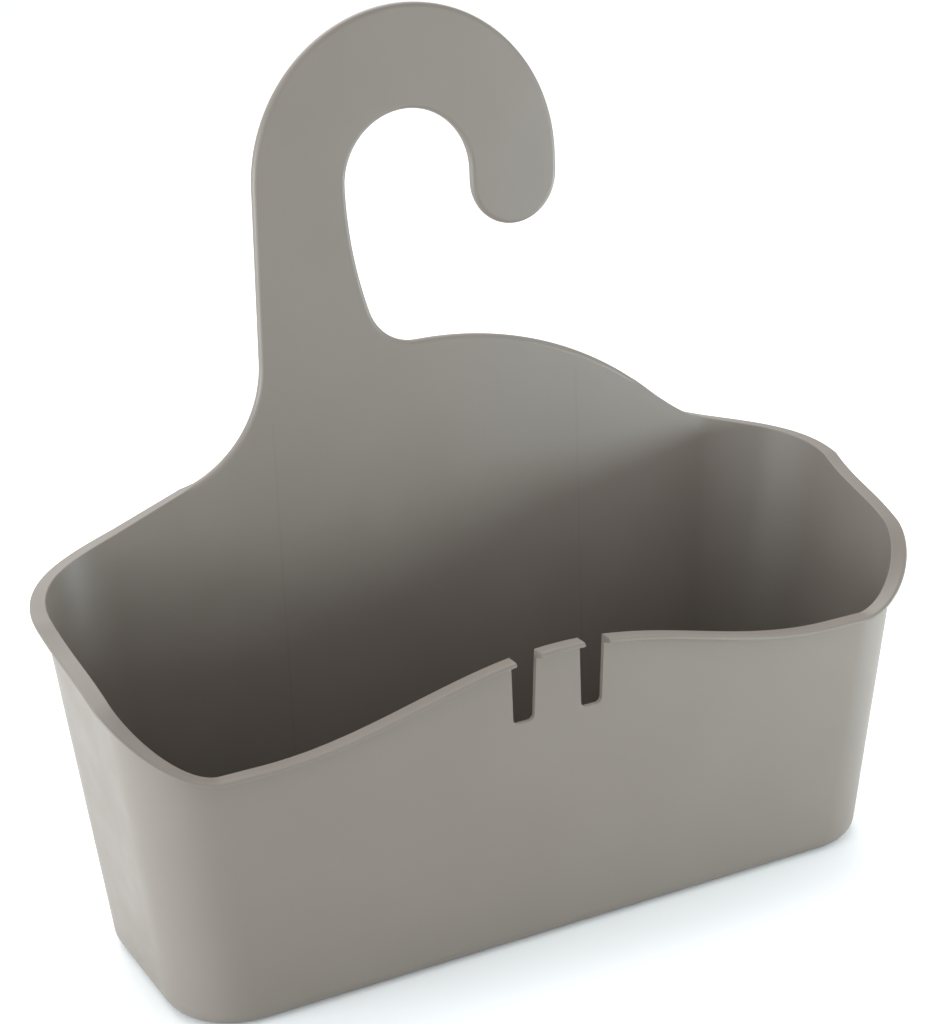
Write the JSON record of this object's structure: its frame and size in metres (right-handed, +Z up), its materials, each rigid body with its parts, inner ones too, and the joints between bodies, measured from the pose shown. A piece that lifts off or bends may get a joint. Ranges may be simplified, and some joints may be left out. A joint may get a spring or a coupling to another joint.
{
  "type": "shower caddy",
  "caption": "Moulded hanging shower basket with a wavy lipped rim, front razor slots, a drained floor and a flat back that rises into a hook.",
  "frame": {"origin": "centre of the object's footprint, on the plane that the basket's flat underside stands on", "axes": "+X to the right seen from the front, +Y towards the back wall and the hook, +Z up"},
  "size_m": [0.2756, 0.0943, 0.271],
  "materials": {
    "moulding": "satin"
  },
  "bodies": {
    "root": {"floor": "moulding", "back_wall": "moulding", "left_wall": "moulding", "right_wall": "moulding", "front_wall_left": "moulding", "front_tongue": "moulding", "front_wall_right": "moulding", "hook_stem": "moulding", "hook": "moulding"}
  },
  "joints": []
}
